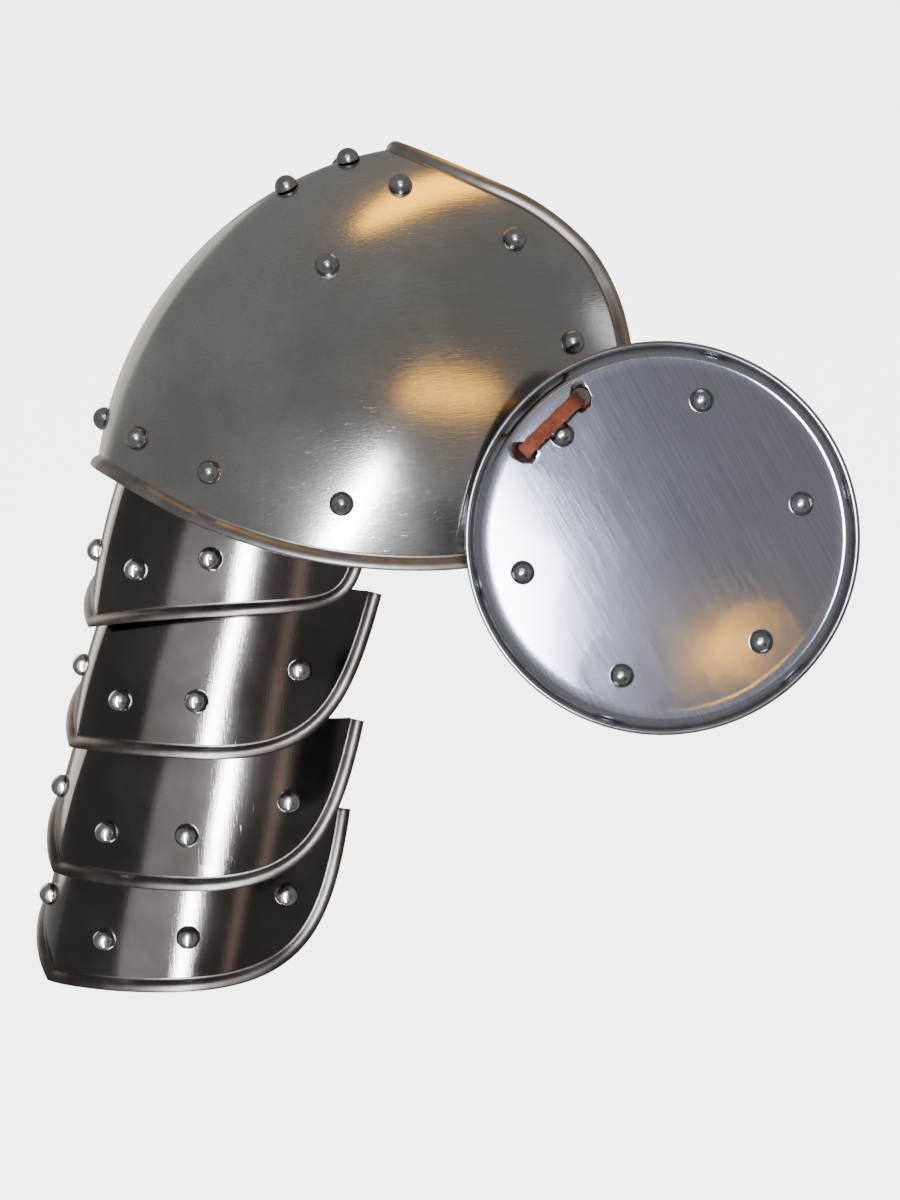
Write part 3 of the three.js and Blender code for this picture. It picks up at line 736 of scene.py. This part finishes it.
# Articulation leathers: six straps of plain brown leather inside, one behind each row of rivets. Each runs
# from the main plate down to the last lame and steps in under the top edge of each lame.
paint = Paint("strap_leather")
hide = paint.noise((500, 500, 500), detail=4, roughness=0.6)
cloud = paint.noise((60, 60, 60), detail=3)
paint.bump(hide, 0.0003)
strap_leather = paint.set(
    Base_Color=paint.mix(cloud.step(0.3, 0.7), (0.045, 0.02, 0.01), (0.1, 0.048, 0.025)),
    Roughness=0.55 + hide * 0.2,
)
leather_thickness, leather_width, lap, leather_end = 1.6, 12.0, 3.75, 8.0
leather_depth = plate + gap + leather_thickness / 2


def over_edge(index, start, s, h):
    """Where a leather clears the top edge of a lame on its way down from a point to s and h on it."""
    radius, placed = arm_radius - index * lame_step, lame_places[index]
    at_keel, at_end = lames[index][5:7]
    x, y, z = placed.inverted() @ Vector(start)
    turned = math.atan2(abs(y) + keel_offset, -x) - math.asin(keel_offset / radius)
    start_s = math.copysign(turned * radius, -y)

    def clear(spot):
        sides = [lame_top(spot + share * leather_width, at_keel, at_end) for share in (-0.5, 0.5)]
        return max(sides) + leather_thickness + lame_gap

    share = (clear(s) - h) / (z - h)
    crossing = s + (start_s - s) * share
    point, normal = lame_face(radius, crossing, clear(crossing), plate + 4 * lame_gap)
    return np.array((*(placed @ Vector(point)), *(placed.to_3x3() @ Vector(normal))))


for column, (along_share, rise_share) in enumerate(lame_rivets):
    for side, end_name in ((1, "front"), (-1, "back")):
        s, h = side * along_share * half_arc, rise_share * pitch
        held = [tuple(Vector(v) for v in dome(arm_rivets[column][0], arm_rivets[column][1] * side))]
        for index in range(4):
            if column < lames[index][7]:
                place = lame_places[index]
                point, normal = lame_face(arm_radius - index * lame_step, s, h)
                held.append((place @ Vector(point), place.to_3x3() @ Vector(normal)))
        flats = []
        for k, (point, normal) in enumerate(held):
            down = held[min(k + 1, len(held) - 1)][0] - held[max(k - 1, 0)][0]
            down = (down - normal * down.dot(normal)).normalized()
            above = lap if k else leather_end
            below = lap + leather_thickness if k < len(held) - 1 else leather_end
            seat = point - normal * leather_depth
            flats.append([np.array((*(seat + down * reach), *normal)) for reach in (-above, below)])
        run = flats.pop(0)
        for index in range(4):
            run.append(over_edge(index, run[-1][:3], s, h))
            if column < lames[index][7]:
                run += flats.pop(0)
        middle = [np.concatenate([v[:3] - v[3:] * leather_thickness / 2, v[3:]]) for v in run]
        leather = strap(f"strap_{column + 1}_{end_name}", soften(middle, 2.0, 3), leather_width,
                        leather_thickness, strap_leather)
        finish_piece(leather, "strap_leather", f"leather_{column + 1}_{end_name}")


# Floor and backdrop: pale and plain, well below the part, which is held up as it is when worn
floor_height, floor_reach, cove_start, cove_radius, wall_top = -900, 9000, 1200, 1200, 5000
sweep = [(-floor_reach, floor_height), (cove_start, floor_height)]
for a in np.linspace(0.1, math.pi / 2, 14):
    rise = floor_height + cove_radius - cove_radius * math.cos(a)
    sweep.append((cove_start + cove_radius * math.sin(a), rise))
sweep.append((cove_start + cove_radius, wall_top))
facing = Matrix.Rotation(math.radians(-25), 4, "Z")
corners = [(x, y, z) for y, z in sweep for x in (-floor_reach, floor_reach)]
strips = [(2 * k, 2 * k + 1, 2 * k + 3, 2 * k + 2) for k in range(len(sweep) - 1)]
backdrop_paint = Paint("backdrop").set(Base_Color=(0.9, 0.9, 0.9), Roughness=0.9)
backdrop = new_piece("backdrop", corners, strips, (backdrop_paint,), placed=facing)
backdrop.visible_glossy = False

# Studio light: an even, slightly warm room, and softboxes set for one group of pieces each, so that every
# plate mirrors its own bright stripes and its own warm patches
world = bpy.data.worlds.new("world")
world.use_nodes = True
world.node_tree.nodes["Background"].inputs["Color"].default_value = (1.0, 0.96, 0.93, 1)
world.node_tree.nodes["Background"].inputs["Strength"].default_value = 0.35
scene.world = world
groups = {}
lame_rivet_sets = [f"rivets_lame_{number}" for number in range(1, 5)]
for name, members in (
    ("plate", ("main_plate_shell",)),
    ("upper_arm", ("lame_1_shell", "lame_2_shell", "rivets_lame_1", "rivets_lame_2")),
    ("lower_arm", ("lame_3_shell", "lame_4_shell", "rivets_lame_3", "rivets_lame_4")),
    ("disc", ("besagew_plate", "rivets_disc", "lace")),
    ("rivets", ("rivets_plate", "rivets_plate_arm", "rivets_disc", *lame_rivet_sets)),
    ("stage", ("backdrop",)),
):
    groups[name] = bpy.data.collections.new(f"lit_{name}")
    for member in members:
        groups[name].objects.link(bpy.data.objects[member])


part_middle, arm_middle, disc_middle = (0, -0.05, -0.12), (-0.07, -0.04, -0.2), (0.08, -0.12, -0.12)


def way_to(azimuth, elevation):
    """Direction at an azimuth (0 in front, positive to the neck) and an elevation, in degrees."""
    a, e = math.radians(azimuth), math.radians(elevation)
    return Vector((math.sin(a) * math.cos(e), -math.cos(a) * math.cos(e), math.sin(e)))


def softbox(name, azimuth, elevation, width, height, strength, colour=(1, 1, 1), *, lights, roll=0.0,
            middle=part_middle, distance=1.6, shape="ELLIPSE"):
    """A softbox for one group that fills width by height degrees, seen from the middle."""
    way = way_to(azimuth, elevation)
    light = bpy.data.lights.new(name, "AREA")
    light.shape = shape
    light.size = 2 * distance * math.tan(math.radians(width) / 2)
    light.size_y = 2 * distance * math.tan(math.radians(height) / 2)
    light.energy = strength * math.pi * light.size * light.size_y
    light.color = colour
    lamp = bpy.data.objects.new(name, light)
    lamp.location = Vector(middle) + way * distance
    turned = (-way).to_track_quat("-Z", "Y").to_matrix() @ Matrix.Rotation(math.radians(roll), 3, "Z")
    lamp.rotation_euler = turned.to_euler()
    scene.collection.objects.link(lamp)
    lamp.light_linking.receiver_collection = groups[lights]


for lights, azimuth, elevation in (("upper_arm", -52, 2), ("lower_arm", -32, -14)):
    arm = {"middle": arm_middle, "lights": lights}
    softbox(f"{lights}_stripe", azimuth, elevation, 6, 95, 190.0, (0.95, 0.96, 1.0), shape="RECTANGLE", **arm)
    softbox(f"{lights}_soft", azimuth - 24, elevation, 28, 90, 1.3, **arm)
    softbox(f"{lights}_brown", azimuth + 29, elevation, 6, 60, 1.2, (1, 0.7, 0.6), **arm)
    softbox(f"{lights}_back", -165, 10, 40, 50, 2.0, (1, 0.9, 0.8), **arm)
softbox("plate_low", -20.5, -6, 4, 34, 100.0, (0.95, 0.96, 1.0), roll=-33, lights="plate")
softbox("plate_warm", 125, 66, 13, 56, 6.0, (1.0, 0.47, 0.0), lights="plate")
softbox("plate_glow", 9, 24, 27, 9, 4.2, (1.0, 0.5, 0.02), roll=-15, lights="plate")
softbox("plate_right", 68, 24, 12, 14, 1.5, (0.9, 0.93, 1.0), lights="plate")
softbox("plate_back", -165, 5, 50, 50, 0.6, (1, 0.92, 0.84), lights="plate")
softbox("disc_left", -47, 7, 22, 28, 28.0, (0.86, 0.9, 1.0), middle=disc_middle, lights="disc")
softbox("disc_warm", -24.7, 8.0, 2.6, 1.0, 22.0, (1.0, 0.46, 0.0), roll=15, middle=disc_middle, lights="disc")
softbox("rivets_soft", -30, 42, 44, 26, 2.2, (0.97, 0.98, 1.0), lights="rivets")
softbox("rivets_spot", -22, 18, 11, 11, 70.0, lights="rivets")
softbox("stage_light", -10, 65, 80, 80, 9.0, lights="stage", middle=(0, 1, -0.5), distance=4.0)

# A dark card low in front on the right, which darkens the main plate beside the disc
card_distance = 0.8
card_ways = [way_to(*angles) for angles in ((0, -26), (24, -26), (24, -5), (2, -3))]
corners = [(Vector(part_middle) + way * card_distance) * 1000 for way in card_ways]
card_paint = Paint("dark_card").set(Base_Color=(0.02, 0.018, 0.018), Roughness=0.9)
card = new_piece("dark_card", corners, [(0, 1, 2, 3)], (card_paint,))
card.visible_camera = False
card.visible_shadow = False
